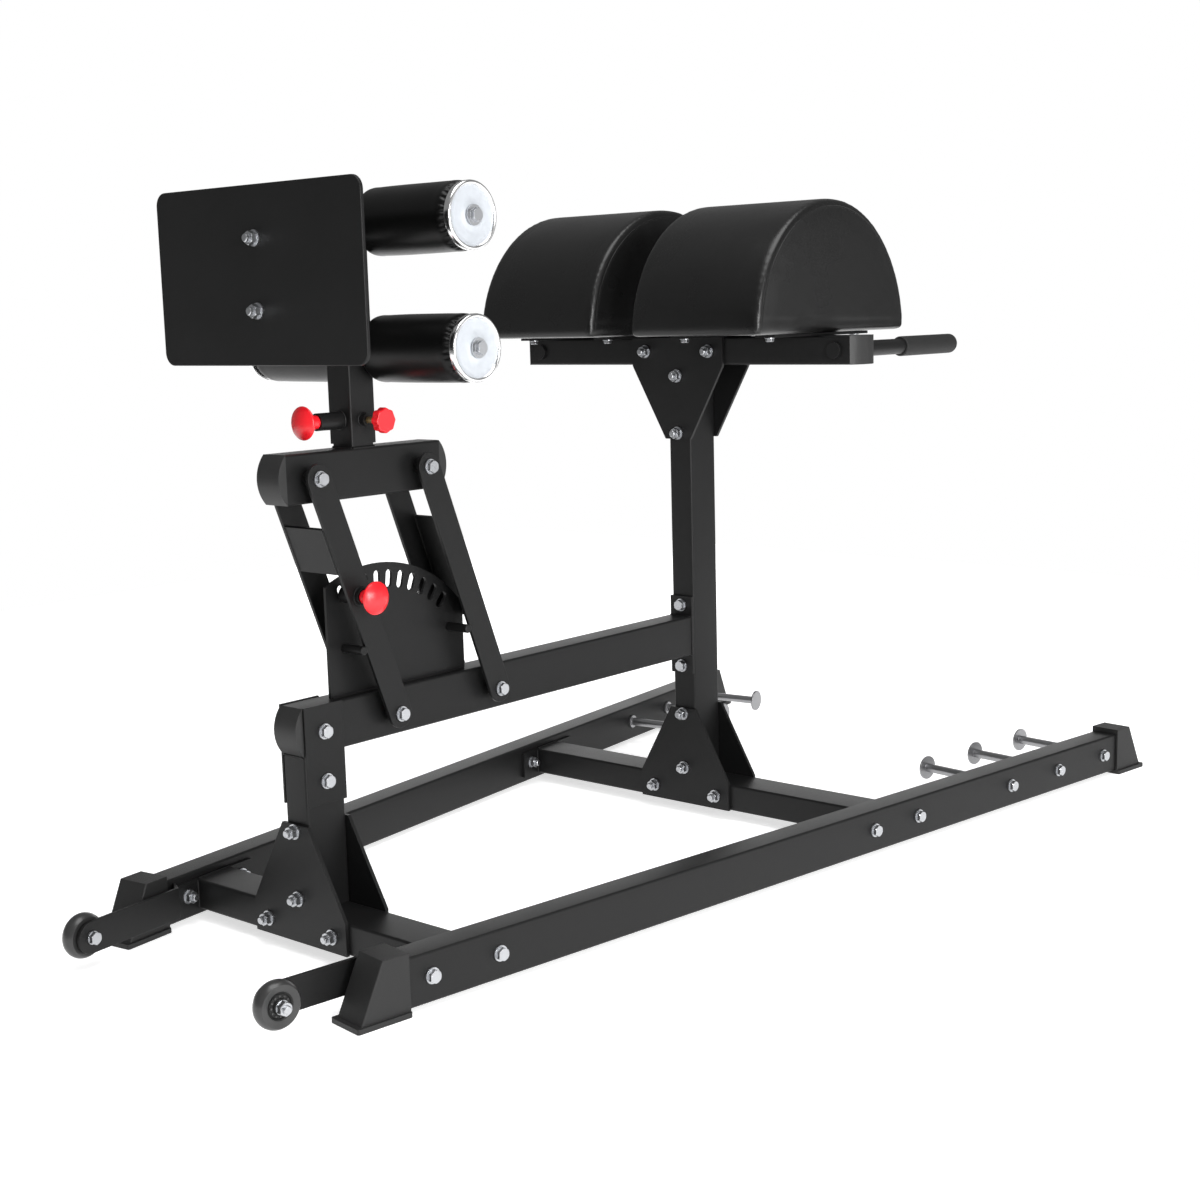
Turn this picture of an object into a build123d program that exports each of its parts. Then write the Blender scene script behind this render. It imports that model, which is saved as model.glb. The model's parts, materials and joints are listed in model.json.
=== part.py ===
from build123d import *
import os
from math import asin, cos, radians, sin, sqrt

os.makedirs("parts", exist_ok=True)

# Glute-ham bench: a splayed base, a low spine, a parallelogram carriage with foot plate
# and ankle rollers, and a tall post with two half-round pads and two handles.
# +X runs from the foot plate to the pads, +Y to the left of a person lying on the
# bench, +Z up. Lengths below count X from the foot-end face of the front upright;
# X_MID then moves everything so that the origin is under the middle of the bounding box.

# --- driving dimensions, millimetres -------------------------------------------------
X_MID = 754.02
WALL = 3.0                      # wall of every square and rectangular tube
CORNER = 4.0                    # outside corner radius of the tubes
TUBE_W, TUBE_H = 50.0, 75.0     # main tube section

SPLAY = 7.7                     # each rail turns out by this many degrees
HALF_FRONT = 316.5              # outer face of a rail from the centre line, at X = 0
SOLE = 8.0                      # rubber under the rails
RAIL_S0, RAIL_S1 = -104.0, 1737.0   # rail ends, measured along the rail

CROSS_W, CROSS_H = 75.0, 50.0
FRONT_X = 0.0                   # foot-end face of front upright and cross member
REAR_X = 957.0                  # foot-end face of main upright, rear cross and pad beam
CROSS_Z = 20.0                  # underside of both cross members
PLATE_T = 6.0                   # flanges, gussets and links
FLANGE_L = 172.0
FLANGE_PITCH = 122.0
BOLT_Z = 47.5

SPINE_Z = 312.5                 # underside of the spine
CHEEK_T = 4.0
PAD_BEAM_Z = 858.0
PAD_BEAM_HALF = 374.0
GUSSET_TOP = PAD_BEAM_Z + CROSS_H + CROSS_Z

LINK_X = (177.5, 401.5)         # lower pivots of the two link pairs
LINK_Z = 350.0
LINK_L = 404.0
LINK_W = 45.0
SLOT_STEP = 6.8                 # degrees between index slots
LEAN = -3 * SLOT_STEP           # rest position of the links, from upright
SPACER_L = 18.0
GAP = 0.3                       # side clearance of moving plates
SECTOR_T = 5.0
SECTOR_Y = -4.5                 # middle of the sector plate, a little to the right
SECTOR_R = 234.0
SLOT_R = 208.5
SLOT_W, SLOT_L = 12.5, 28.0
STOP_R = 7.0
STOP_AT = 130.0                 # stop rods, along the link from its lower pivot

MAST = 44.4
SLEEVE = 50.0
SLEEVE_WALL = 2.5
SLEEVE_Z = (772.0, 1138.0)
MAST_TOP = 1090.0
PIN_Z = 808.0
PIN_PITCH = 25.0
INDEX_PIN_R, SLEEVE_PIN_R = 5.9, 5.0
BARREL_R, CHAMBER_R = 13.3, 10.7
KNOB = (25.4, 14.0, 10.4, 22.2)  # dome radius, dome depth, neck radius, neck length

PLATE_X = -19.5                 # outer face of the foot plate
PANEL_T = 6.0
PLATE_HALF = 227.4
PLATE_Z = (895.5, 1152.0)
PLATE_BOLT_Z = (973.7, 1076.7)
ROLLER_Z = (913.0, 1101.0)
ROLLER_R = 51.0
AXLE_R = 12.5

PAD_Y = (45.0, 320.0)
PAD_R = 232.5
PAD_Z = 913.0
HANDLE_Y, HANDLE_Z, HANDLE_R = 343.0, 883.0, 14.0

WHEEL_S, WHEEL_Z, WHEEL_R, WHEEL_W = -244.0, 51.0, 35.0, 24.0
WHEEL_STEP = 15.5               # wheel bars run this far inboard of the cross flanges
PEG_S = (1343.0, 1499.0, 1655.0)

# --- helpers ---------------------------------------------------------------------------
LOW = (Align.CENTER, Align.CENTER, Align.MIN)


def block(x0, x1, y0, y1, z0, z1):
    size = (x1 - x0, y1 - y0, z1 - z0)
    return Pos((x0 + x1) / 2, (y0 + y1) / 2, (z0 + z1) / 2) * Box(*size)


def rod(a, b, r):
    a, b = Vector(*a), Vector(*b)
    return Plane(origin=a, z_dir=b - a) * Cylinder(r, (b - a).length, align=LOW)


def ring(a, b, r_out, r_in):
    return rod(a, b, r_out) - rod(a, b, r_in)


def tube(a, b, side, w, h, wall=WALL, corner=CORNER):
    """Rectangular tube from a to b; w is measured along the direction called side."""
    a, b = Vector(*a), Vector(*b)
    section = RectangleRounded(w, h, corner)
    section -= RectangleRounded(w - 2 * wall, h - 2 * wall, max(corner - wall, 0.8))
    return extrude(Plane(origin=a, x_dir=side, z_dir=b - a) * section, amount=(b - a).length)


def plate_yz(points, x0, thick):
    """Flat plate standing across the bench: outline in (y, z), thickness along +X."""
    face = make_face(Polyline(*[(x0, y, z) for y, z in points], close=True))
    return extrude(face, amount=thick, dir=(1, 0, 0))


def both(shape):
    """The shape and its mirror image across the centre line."""
    return [shape, mirror(shape, about=Plane.XZ)]


def bolt(grip, d=12.0, af=18.0, head=7.5, nut=10.0, tip=4.0, washer=12.0, flat=2.5):
    """Hex bolt along +Z, clamping z = 0 to z = grip between washers; no nut if nut is 0."""
    hexagon = RegularPolygon(af / 2, 6, major_radius=False)
    crown = Cylinder(af / sqrt(3), head, align=LOW)
    crown = chamfer(crown.edges().group_by(Axis.Z)[0], 1.3)
    body = Pos(0, 0, -flat - head) * (extrude(hexagon, amount=head) & crown)
    body += Pos(0, 0, -flat) * Cylinder(washer, flat, align=LOW)
    if not nut:
        return body + Pos(0, 0, -flat) * Cylinder(d / 2, flat + grip, align=LOW)
    crown = Cylinder(af / sqrt(3), nut, align=LOW)
    crown = chamfer(crown.edges().group_by(Axis.Z)[-1], 1.3)
    body += Pos(0, 0, grip + flat) * (extrude(hexagon, amount=nut) & crown)
    body += Pos(0, 0, grip) * Cylinder(washer, flat, align=LOW)
    shank = Cylinder(d / 2, grip + 2 * flat + nut + tip, align=LOW)
    return body + chamfer(shank.edges().group_by(Axis.Z)[-1], 1.2)


def put(shape, at, way):
    return Plane(origin=at, z_dir=way) * shape


def knob(dome_r, depth, neck_r, neck_l, lip=5.0):
    """Mushroom knob along +Z: the neck ends at z = 0, the dome lies at negative z."""
    r, h = dome_r - 1.0, depth - lip
    ball = (r * r + h * h) / (2 * h)
    half = asin(r / ball) / 2
    rim, face = -neck_l - lip, -neck_l - depth
    profile = make_face(
        [
            Line((0, face), (0, 0)),
            Line((0, 0), (neck_r, 0)),
            Line((neck_r, 0), (neck_r, 4 - neck_l)),
            Line((neck_r, 4 - neck_l), (dome_r - 2, -neck_l)),
            ThreePointArc((dome_r - 2, -neck_l), (dome_r, -neck_l - lip / 2), (r, rim)),
            ThreePointArc((r, rim), (ball * sin(half), face + ball - ball * cos(half)), (0, face)),
        ]
    )
    return revolve(Plane.XZ * profile, Axis.Z)


def end_cap(bulge=15.0, w=TUBE_W, h=TUBE_H, plug=16.0):
    """Plastic cap for the main tube: rounded over the tall side, with a plug at +Z."""
    arc = ThreePointArc((-h / 2, 0), (0, -bulge), (h / 2, 0))
    nose = extrude(make_face([arc, Line((h / 2, 0), (-h / 2, 0))]), amount=w / 2, both=True)
    nose = Rot(90, 0, 0) * nose
    inner = extrude(RectangleRounded(h - 2 * WALL - 0.4, w - 2 * WALL - 0.4, 1.6), amount=plug)
    return nose + inner


def save(name, shapes):
    shapes = shapes if isinstance(shapes, list) else [shapes]
    moved = [Pos(-X_MID, 0, 0) * s for s in shapes]
    export_step(moved[0] if len(moved) == 1 else Compound(children=moved), f"parts/{name}.step")


X, Y, Z = (1, 0, 0), (0, 1, 0), (0, 0, 1)
MX, MY = (-1, 0, 0), (0, -1, 0)

# --- base: two splayed rails ------------------------------------------------------------
# Rail frame: s along the rail, w across it (outwards positive), z up; left rail.
TURN = radians(SPLAY)
RAIL = Location((0, HALF_FRONT - TUBE_W / 2 / cos(TURN), 0), (0, 0, SPLAY))
RAIL_MID = SOLE + TUBE_H / 2
FACE = TUBE_W / 2


def rail_s(x, w):
    """Distance along the rail of the point at this X, this far across the rail."""
    return (x + w * sin(TURN)) / cos(TURN)


FLANGES = [rail_s(x + CROSS_W / 2, -FACE) for x in (FRONT_X, REAR_X)]
FLANGE_BOLTS = [s + d for s in FLANGES for d in (-FLANGE_PITCH / 2, FLANGE_PITCH / 2)]

rail = tube((RAIL_S0, 0, RAIL_MID), (RAIL_S1, 0, RAIL_MID), Y, TUBE_W, TUBE_H)
for s in (*FLANGE_BOLTS, *PEG_S):
    rail -= rod((s, -FACE - 1, BOLT_Z), (s, FACE + 1, BOLT_Z), 6.3)
left, right = both(RAIL * rail)
save("rail_left", left)
save("rail_right", right)

# rubber foot cap: socket over the rail end, sloping toe, wider sole
CAP_WALL, CAP_L, CAP_TOE, CAP_TOP = 4.5, 92.0, 84.0, 44.5
cap_top = SOLE + TUBE_H + 2 * CAP_WALL
side = Polyline((0, 0, 0), (CAP_TOE, 0, 0), (CAP_TOE, 0, SOLE), (CAP_TOP, 0, cap_top), (0, 0, cap_top), close=True)
cap = extrude(make_face(side), amount=FACE + CAP_WALL, both=True, dir=Y)
cap = fillet(cap.edges().filter_by(lambda e: e.center().X > 30 and e.center().Z > SOLE + 5), 3.0)
sole = block(0, CAP_L, -FACE - 9, FACE + 9, 0, SOLE)
sole = fillet(sole.edges().filter_by(Axis.Z), 4.0)
cap += sole
cap -= block(-1, 37, -FACE - 0.1, FACE + 0.1, SOLE, SOLE + TUBE_H + 0.1)
cap_rear = RAIL * (Pos(RAIL_S1 - 36.5, 0, 0) * cap)
cap_front = RAIL * (Pos(RAIL_S0 + 36.5, 0, 0) * (Rot(0, 0, 180) * cap))
save("foot_caps", both(cap_front) + both(cap_rear))

# cross members with end flanges turned to the rails
beyond = RAIL * block(-600, 2400, -FACE - PLATE_T, 400, -50, 200)
for name, x0, s0 in (("front_cross", FRONT_X, FLANGES[0]), ("rear_cross", REAR_X, FLANGES[1])):
    xc, zc = x0 + CROSS_W / 2, CROSS_Z + CROSS_H / 2
    cross = tube((xc, -600, zc), (xc, 600, zc), X, CROSS_W, CROSS_H)
    for cutter in both(beyond):
        cross -= cutter
    flange = block(s0 - FLANGE_L / 2, s0 + FLANGE_L / 2, -FACE - PLATE_T, -FACE, CROSS_Z, CROSS_Z + CROSS_H)
    for s in FLANGE_BOLTS:
        flange -= rod((s, -60, BOLT_Z), (s, 0, BOLT_Z), 6.3)
    for f in both(RAIL * flange):
        cross += f
    for y in (-73.5, 73.5):
        cross -= rod((x0 - 1, y, 45), (x0 + CROSS_W + 1, y, 45), 6.3)
    save(name, cross)

# transport wheels on flat bars welded to the front end of each flange and stepped inboard
flange_front = FLANGES[0] - FLANGE_L / 2
bar_out = -FACE - PLATE_T - WHEEL_STEP
bar_in = bar_out - PLATE_T
plan = Polyline(
    (WHEEL_S, bar_in), (flange_front - 14, bar_in), (flange_front, -FACE - PLATE_T),
    (flange_front, -FACE), (flange_front - 17.5, bar_out), (WHEEL_S, bar_out), close=True,
)
bar = Pos(0, 0, WHEEL_Z - 25) * extrude(make_face(plan), amount=50)
bar += rod((WHEEL_S, bar_in, WHEEL_Z), (WHEEL_S, bar_out, WHEEL_Z), 25)
bar -= rod((WHEEL_S, bar_in - 1, WHEEL_Z), (WHEEL_S, bar_out + 1, WHEEL_Z), 6.3)
save("wheel_bars", both(RAIL * bar))

wheel_in = bar_out + 2.5                    # inner face of the wheel
wheel_mid = wheel_in + WHEEL_W / 2
half = WHEEL_W / 2
tread = make_face(
    [
        Line((20, -half + 2), (30, -half)),
        ThreePointArc((30, -half), (WHEEL_R, 0), (30, half)),
        Line((30, half), (20, half - 2)),
        Line((20, half - 2), (20, -half + 2)),
    ]
)
hub = Polyline(
    (6.05, -half), (11, -half), (13, -half + 4), (17, -half + 4), (20, -half + 1), (20, half - 1),
    (17, half - 4), (13, half - 4), (11, half), (6.05, half), close=True,
)
AXLE = RAIL * Location((WHEEL_S, wheel_mid, WHEEL_Z), (-90, 0, 0))
tyre_l, tyre_r = both(AXLE * revolve(Plane.XZ * tread, Axis.Z))
hub_l, hub_r = both(AXLE * revolve(Plane.XZ * make_face(hub), Axis.Z))
save("wheel_tyre_left", tyre_l)
save("wheel_tyre_right", tyre_r)
save("wheel_hub_left", hub_l)
save("wheel_hub_right", hub_r)
wheel_bolt = bolt(PLATE_T + 2.5 + WHEEL_W + 0.5, tip=2.0, washer=10.4)
wheel_bolt += Pos(0, 0, PLATE_T) * Cylinder(10, 2.0, align=LOW)
wheel_bolt = put(wheel_bolt, (WHEEL_S, bar_in, WHEEL_Z), Y)
save("wheel_bolts", both(RAIL * wheel_bolt))

# flange bolts: heads outside the rails, nuts inside
rail_bolts = []
for s in FLANGE_BOLTS:
    rail_bolts += both(RAIL * put(bolt(TUBE_W + PLATE_T), (s, FACE, BOLT_Z), MY))
save("rail_bolts", rail_bolts)

# band pegs: round bars with disc ends standing inwards from the rails
peg = Cylinder(8.5, 148, align=LOW) + Cylinder(14, 4, align=LOW)
peg += Pos(0, 0, 148) * Cylinder(23, 4, align=LOW)
peg = fillet(peg.edges().filter_by(GeomType.CIRCLE).group_by(Axis.Z)[-1], 1.5)
pegs, peg_bolts = [], []
for s in PEG_S:
    pegs += both(RAIL * put(peg, (s, -FACE, BOLT_Z), MY))
    peg_bolts += both(RAIL * put(bolt(TUBE_W - 0.3, nut=0), (s, FACE, BOLT_Z), MY))
save("band_pegs", pegs)
save("peg_bolts", peg_bolts)

# --- uprights, spine and gussets ----------------------------------------------------------
MID = TUBE_H / 2
fx, rx = FRONT_X + MID, REAR_X + MID
cross_top = CROSS_Z + CROSS_H
spine_top = SPINE_Z + TUBE_H

upright = tube((fx, 0, cross_top), (fx, 0, SPINE_Z), X, TUBE_H, TUBE_W)
for z in (90, 196):
    upright -= rod((FRONT_X - 1, 0, z), (FRONT_X + TUBE_H + 1, 0, z), 6.3)
upright -= rod((fx, -30, 270), (fx, 30, 270), 6.3)
save("front_upright", upright)

post = tube((rx, 0, cross_top), (rx, 0, PAD_BEAM_Z), X, TUBE_H, TUBE_W)
for z in (90, 196, 290, 407, GUSSET_TOP - 196, GUSSET_TOP - 90):
    post -= rod((REAR_X - 1, 0, z), (REAR_X + TUBE_H + 1, 0, z), 6.3)
save("main_upright", post)

spine = tube((0, 0, SPINE_Z + MID), (REAR_X - PLATE_T, 0, SPINE_Z + MID), Y, TUBE_W, TUBE_H)
flange = block(REAR_X - PLATE_T, REAR_X, -FACE, FACE, 276, 424)
for z in (290, 407):
    flange -= rod((REAR_X - 9, 0, z), (REAR_X + 1, 0, z), 6.3)
spine += flange
for x, z in ((fx, 347), (LINK_X[0], LINK_Z), (LINK_X[1], LINK_Z)):
    spine -= rod((x, -30, z), (x, 30, z), 6.3)
save("spine", spine)

cheek = block(0, TUBE_H + 1, FACE, FACE + CHEEK_T, 235, spine_top + 1)
for z in (270, 347):
    cheek -= rod((fx, FACE - 1, z), (fx, FACE + CHEEK_T + 1, z), 6.3)
save("spine_cheeks", both(cheek))
spine_bolts = [put(bolt(TUBE_W + 2 * CHEEK_T), (fx, -FACE - CHEEK_T, z), Y) for z in (270, 347)]
spine_bolts += [put(bolt(TUBE_H + PLATE_T), (REAR_X - PLATE_T, 0, z), X) for z in (290, 407)]
save("spine_bolts", spine_bolts)

OUTLINE = [(-105, 20), (105, 20), (105, 72), (29, 207), (-29, 207), (-105, 72)]
HOLES = [(0, 196), (0, 90), (-73.5, 45), (73.5, 45)]
gussets, gusset_bolts = [], []
for x0, flip in ((FRONT_X, False), (REAR_X, False), (REAR_X, True)):
    level = [(y, GUSSET_TOP - z if flip else z) for y, z in OUTLINE]
    holes = [(y, GUSSET_TOP - z if flip else z) for y, z in HOLES]
    for x in (x0 - PLATE_T, x0 + TUBE_H):
        g = plate_yz(level, x, PLATE_T)
        for y, z in holes:
            g -= rod((x - 1, y, z), (x + PLATE_T + 1, y, z), 6.3)
        gussets.append(g)
    for y, z in holes:
        gusset_bolts.append(put(bolt(TUBE_H + 2 * PLATE_T), (x0 + TUBE_H + PLATE_T, y, z), MX))
save("gusset_plates", gussets)
save("gusset_bolts", gusset_bolts)

# --- pad beam, pads and handles -----------------------------------------------------------
beam_mid = PAD_BEAM_Z + CROSS_H / 2
beam = tube((rx, -PAD_BEAM_HALF, beam_mid), (rx, PAD_BEAM_HALF, beam_mid), X, CROSS_W, CROSS_H)
for y in (-73.5, 73.5):
    beam -= rod((REAR_X - 1, y, beam_mid), (REAR_X + TUBE_H + 1, y, beam_mid), 6.3)
for y in (-HANDLE_Y, HANDLE_Y):
    beam -= rod((REAR_X - 1, y, HANDLE_Z), (REAR_X + TUBE_H + 1, y, HANDLE_Z), HANDLE_R + 0.2)
save("pad_beam", beam)

straps, pad_bolts = [], []
pad_bolt = bolt(5.0, d=8, af=13, head=5.5, nut=0, washer=9, flat=1.6)
for y in (-274, -90, 90, 274):
    strap = block(rx - 148, rx + 148, y - 20, y + 20, PAD_Z - 5, PAD_Z)
    for x in (rx - 133, rx + 133):
        strap -= rod((x, y, PAD_Z - 9), (x, y, PAD_Z + 1), 4.2)
        pad_bolts.append(put(pad_bolt, (x, y, PAD_Z - 5), Z))
    straps.append(strap)
save("pad_straps", straps)
save("pad_bolts", pad_bolts)

# half-round pad: arc over a flat base, small radius along every edge
centre_z = PAD_Z - 3.0
reach = sqrt(PAD_R**2 - (PAD_Z - centre_z) ** 2)
arc = ThreePointArc((rx - reach, 0, PAD_Z), (rx, 0, centre_z + PAD_R), (rx + reach, 0, PAD_Z))
section = make_face([arc, Line((rx + reach, 0, PAD_Z), (rx - reach, 0, PAD_Z))])
section = fillet(section.vertices(), 9.0)
pad = extrude(section, amount=PAD_Y[1] - PAD_Y[0], dir=Y)
pad = fillet(pad.edges().group_by(Axis.Y)[0] + pad.edges().group_by(Axis.Y)[-1], 8.0)
left, right = both(Pos(0, PAD_Y[0], 0) * pad)
save("pad_left", left)
save("pad_right", right)

bar = ring((REAR_X - 6, HANDLE_Y, HANDLE_Z), (1352, HANDLE_Y, HANDLE_Z), HANDLE_R, HANDLE_R - 2.5)
bar += rod((REAR_X - 6, HANDLE_Y, HANDLE_Z), (REAR_X - 3, HANDLE_Y, HANDLE_Z), HANDLE_R)
save("handle_bars", both(bar))
grip = Pos(1173, HANDLE_Y, HANDLE_Z) * (Rot(0, 90, 0) * Cylinder(18, 184, align=LOW))
grip = fillet(grip.edges().group_by(Axis.X)[-1], 9.0)
grip = fillet(grip.edges().group_by(Axis.X)[0], 2.5)
grip -= rod((1170, HANDLE_Y, HANDLE_Z), (1352.2, HANDLE_Y, HANDLE_Z), HANDLE_R + 0.1)
save("handle_grips", both(grip))

caps = [Plane(origin=(0, 0, SPINE_Z + MID), x_dir=Z, z_dir=X) * end_cap()]
caps += both(Plane(origin=(rx, PAD_BEAM_HALF, beam_mid), x_dir=X, z_dir=MY) * end_cap())
save("frame_end_caps", caps)

# --- index sector, stops and lower pivots ---------------------------------------------------
def along(x0, d, side=0.0, lean=LEAN):
    """Point (x, z) at distance d up a link from its lower pivot, side mm towards +X."""
    a = radians(lean)
    return x0 + d * sin(a) + side * cos(a), LINK_Z + d * cos(a) - side * sin(a)


px = LINK_X[0]
edge_l, edge_r = px - 105, px + 184
top_l = LINK_Z + sqrt(SECTOR_R**2 - 105**2)
top_r = LINK_Z + sqrt(SECTOR_R**2 - 184**2)
outline = [
    Line((edge_r, 0, top_r), (edge_r, 0, spine_top)),
    Line((edge_r, 0, spine_top), (edge_l, 0, spine_top)),
    Line((edge_l, 0, spine_top), (edge_l, 0, top_l)),
    ThreePointArc((edge_l, 0, top_l), (px, 0, LINK_Z + SECTOR_R), (edge_r, 0, top_r)),
]
sector = Pos(0, SECTOR_Y, 0) * extrude(make_face(outline), amount=SECTOR_T / 2, both=True, dir=Y)
slot_cut = Rot(90, 0, 0) * extrude(SlotOverall(SLOT_L, SLOT_W, rotation=90), 12, both=True)
for k in range(10):
    lean = LEAN + k * SLOT_STEP
    x, z = along(px, SLOT_R, lean=lean)
    sector -= Pos(x, 0, z) * (Rot(0, lean, 0) * slot_cut)
STOPS = [along(x0, STOP_AT, -(LINK_W / 2 + STOP_R + 0.15)) for x0 in LINK_X]
stops = []
for x, z in STOPS:
    sector -= rod((x, -12, z), (x, 12, z), STOP_R)
    stop = rod((x, -53, z), (x, 12, z), STOP_R)
    stops.append(chamfer(stop.edges().filter_by(GeomType.CIRCLE), 1.0))
save("sector_plate", sector)
save("stop_rods", stops)

half_pivot = FACE + SPACER_L
spacer = ring((0, FACE, 0), (0, half_pivot, 0), 12, 6.1)
pivot_bolt = bolt(2 * (half_pivot + PLATE_T + 2 * GAP))
pivot_y = -half_pivot - PLATE_T - 2 * GAP


def pivots(centres):
    spacers = [Pos(x, 0, z) * s for x, z in centres for s in both(spacer)]
    bolts = [put(pivot_bolt, (x, pivot_y, z), Y) for x, z in centres]
    return spacers, bolts


spacers, bolts = pivots([(x, LINK_Z) for x in LINK_X])
save("pivot_spacers_lower", spacers)
save("pivot_bolts_lower", bolts)

# --- link pairs -----------------------------------------------------------------------------
def link_pair(x0, edge, z0, z1):
    """Two flat arms joined by a cross plate on one edge, leaning at the rest angle."""
    y0, y1 = half_pivot + GAP, half_pivot + GAP + PLATE_T
    arm = block(-LINK_W / 2, LINK_W / 2, y0, y1, 0, LINK_L)
    for z in (0, LINK_L):
        arm += rod((0, y0, z), (0, y1, z), LINK_W / 2)
    for z in (0, LINK_L):
        arm -= rod((0, y0 - 1, z), (0, y1 + 1, z), 6.06)
    x_in = edge * (LINK_W / 2 - PLATE_T)
    web = block(min(x_in, edge * LINK_W / 2), max(x_in, edge * LINK_W / 2), -y0, y0, z0, z1)
    a, b = both(arm)
    return a + b + web


LEFT_LINK = Location((LINK_X[0], 0, LINK_Z), (0, LEAN, 0))
RIGHT_LINK = Location((LINK_X[1], 0, LINK_Z), (0, LEAN, 0))
arm_face = half_pivot + GAP + PLATE_T
foot_link = link_pair(0, -1, 255, 331)
barrel_end = -arm_face - 8.5
foot_link += rod((0, -13, SLOT_R), (0, barrel_end, SLOT_R), BARREL_R)
foot_link -= rod((0, -12, SLOT_R), (0, barrel_end - 1, SLOT_R), INDEX_PIN_R + 0.08)
foot_link -= rod((0, -21, SLOT_R), (0, barrel_end - 1, SLOT_R), CHAMBER_R)
save("link_foot_side", LEFT_LINK * foot_link)
save("link_pad_side", RIGHT_LINK * link_pair(0, 1, 125, 304))

# index pin: rests drawn back just clear of the sector plate, slides +Y into a slot
neck_end = barrel_end - GAP
pin = rod((0, neck_end - 15, SLOT_R), (0, SECTOR_Y - SECTOR_T / 2 - 1, SLOT_R), INDEX_PIN_R)
pin = chamfer(pin.edges().group_by(Axis.Y)[-1], 0.8)
pin_knob = put(knob(*KNOB), (0, neck_end, SLOT_R), Y)
pin_knob -= rod((0, neck_end - 15, SLOT_R), (0, neck_end + 1, SLOT_R), INDEX_PIN_R)
save("index_pin", LEFT_LINK * pin)
save("index_pin_knob", LEFT_LINK * pin_knob)

# --- top beam with mast ---------------------------------------------------------------------
TOP = [along(x0, LINK_L) for x0 in LINK_X]
top_z = TOP[0][1]
mast_x = (TOP[0][0] + TOP[1][0]) / 2
beam_top = top_z + MID
x0, x1 = mast_x - 154, mast_x + 157
top_beam = tube((x0, 0, top_z), (x1, 0, top_z), Y, TUBE_W, TUBE_H)
for x, z in TOP:
    top_beam -= rod((x, -30, z), (x, 30, z), 6.3)
mast = tube((mast_x, 0, beam_top), (mast_x, 0, MAST_TOP), X, MAST, MAST, corner=3.0)
for k in range(7):
    z = PIN_Z + k * PIN_PITCH
    mast -= rod((mast_x - 30, 0, z), (mast_x - 10, 0, z), 5.3)
save("top_beam", top_beam + mast)
caps = [Plane(origin=(x0, 0, top_z), x_dir=Z, z_dir=X) * end_cap()]
caps.append(Plane(origin=(x1, 0, top_z), x_dir=Z, z_dir=MX) * end_cap())
save("top_beam_caps", caps)
spacers, bolts = pivots(TOP)
save("pivot_spacers_upper", spacers)
save("pivot_bolts_upper", bolts)

# --- sleeve, foot plate and rollers ---------------------------------------------------------
sx0, sx1 = mast_x - SLEEVE / 2, mast_x + SLEEVE / 2
sleeve = tube((mast_x, 0, SLEEVE_Z[0]), (mast_x, 0, SLEEVE_Z[1]), X, SLEEVE, SLEEVE, SLEEVE_WALL, 3.0)
barrel_x = sx0 - 46.5
sleeve += rod((barrel_x, 0, PIN_Z), (sx0 + 0.5, 0, PIN_Z), BARREL_R)
sleeve += rod((mast_x, -FACE - 11, PIN_Z), (mast_x, -FACE + 0.5, PIN_Z), 10)
sleeve -= rod((barrel_x - 1, 0, PIN_Z), (sx0 + 9, 0, PIN_Z), SLEEVE_PIN_R + 0.15)
sleeve -= rod((barrel_x - 1, 0, PIN_Z), (sx0 - 20, 0, PIN_Z), CHAMBER_R)
sleeve -= rod((mast_x, -FACE - 19, PIN_Z), (mast_x, -FACE + 9, PIN_Z), 5.15)
save("post_sleeve", sleeve)

neck_x = barrel_x - GAP
pin = rod((neck_x - 15, 0, PIN_Z), (sx0 + SLEEVE_WALL - 0.1, 0, PIN_Z), SLEEVE_PIN_R)
pin = chamfer(pin.edges().group_by(Axis.X)[-1], 0.8)
pin_knob = put(knob(*KNOB), (neck_x, 0, PIN_Z), X)
pin_knob -= rod((neck_x - 15, 0, PIN_Z), (neck_x + 1, 0, PIN_Z), SLEEVE_PIN_R)
save("sleeve_pin", pin)
save("sleeve_pin_knob", pin_knob)

knob_y = -FACE - 31
screw = rod((mast_x, knob_y - 12, PIN_Z), (mast_x, -MAST / 2 - 0.3, PIN_Z), 5.0)
screw = chamfer(screw.edges().group_by(Axis.Y)[-1], 0.8)
for k in range(9):
    y = -FACE - 13 - 2.0 * k
    screw -= ring((mast_x, y, PIN_Z), (mast_x, y - 0.8, PIN_Z), 6.0, 4.4)
star = extrude(fillet(RegularPolygon(19.5, 8).vertices(), 2.5), amount=13)
star = fillet(star.edges().group_by(Axis.Z)[-1], 2.5)
for k in range(8):
    a = radians(45 * k + 22.5)
    star -= Pos(21.5 * cos(a), 21.5 * sin(a), -1) * Cylinder(4.5, 20, align=LOW)
clamp = Pos(0, 0, -8) * Cylinder(10, 8, align=LOW) + star
clamp = put(clamp, (mast_x, knob_y - 8, PIN_Z), MY)
clamp -= rod((mast_x, knob_y - 12, PIN_Z), (mast_x, 0, PIN_Z), 5.0)
save("tension_screw", screw)
save("tension_knob", clamp)

standoffs = []
for z in PLATE_BOLT_Z:
    arm = tube((PLATE_X + PANEL_T, 0, z), (sx0, 0, z), Y, 40, 40, corner=3.0)
    end = block(PLATE_X + PANEL_T, PLATE_X + PANEL_T + 6, -18, 18, z - 18, z + 18)
    end -= rod((PLATE_X, 0, z), (PLATE_X + 20, 0, z), 6.3)
    standoffs.append(arm + end)
save("plate_standoffs", standoffs)

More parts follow.
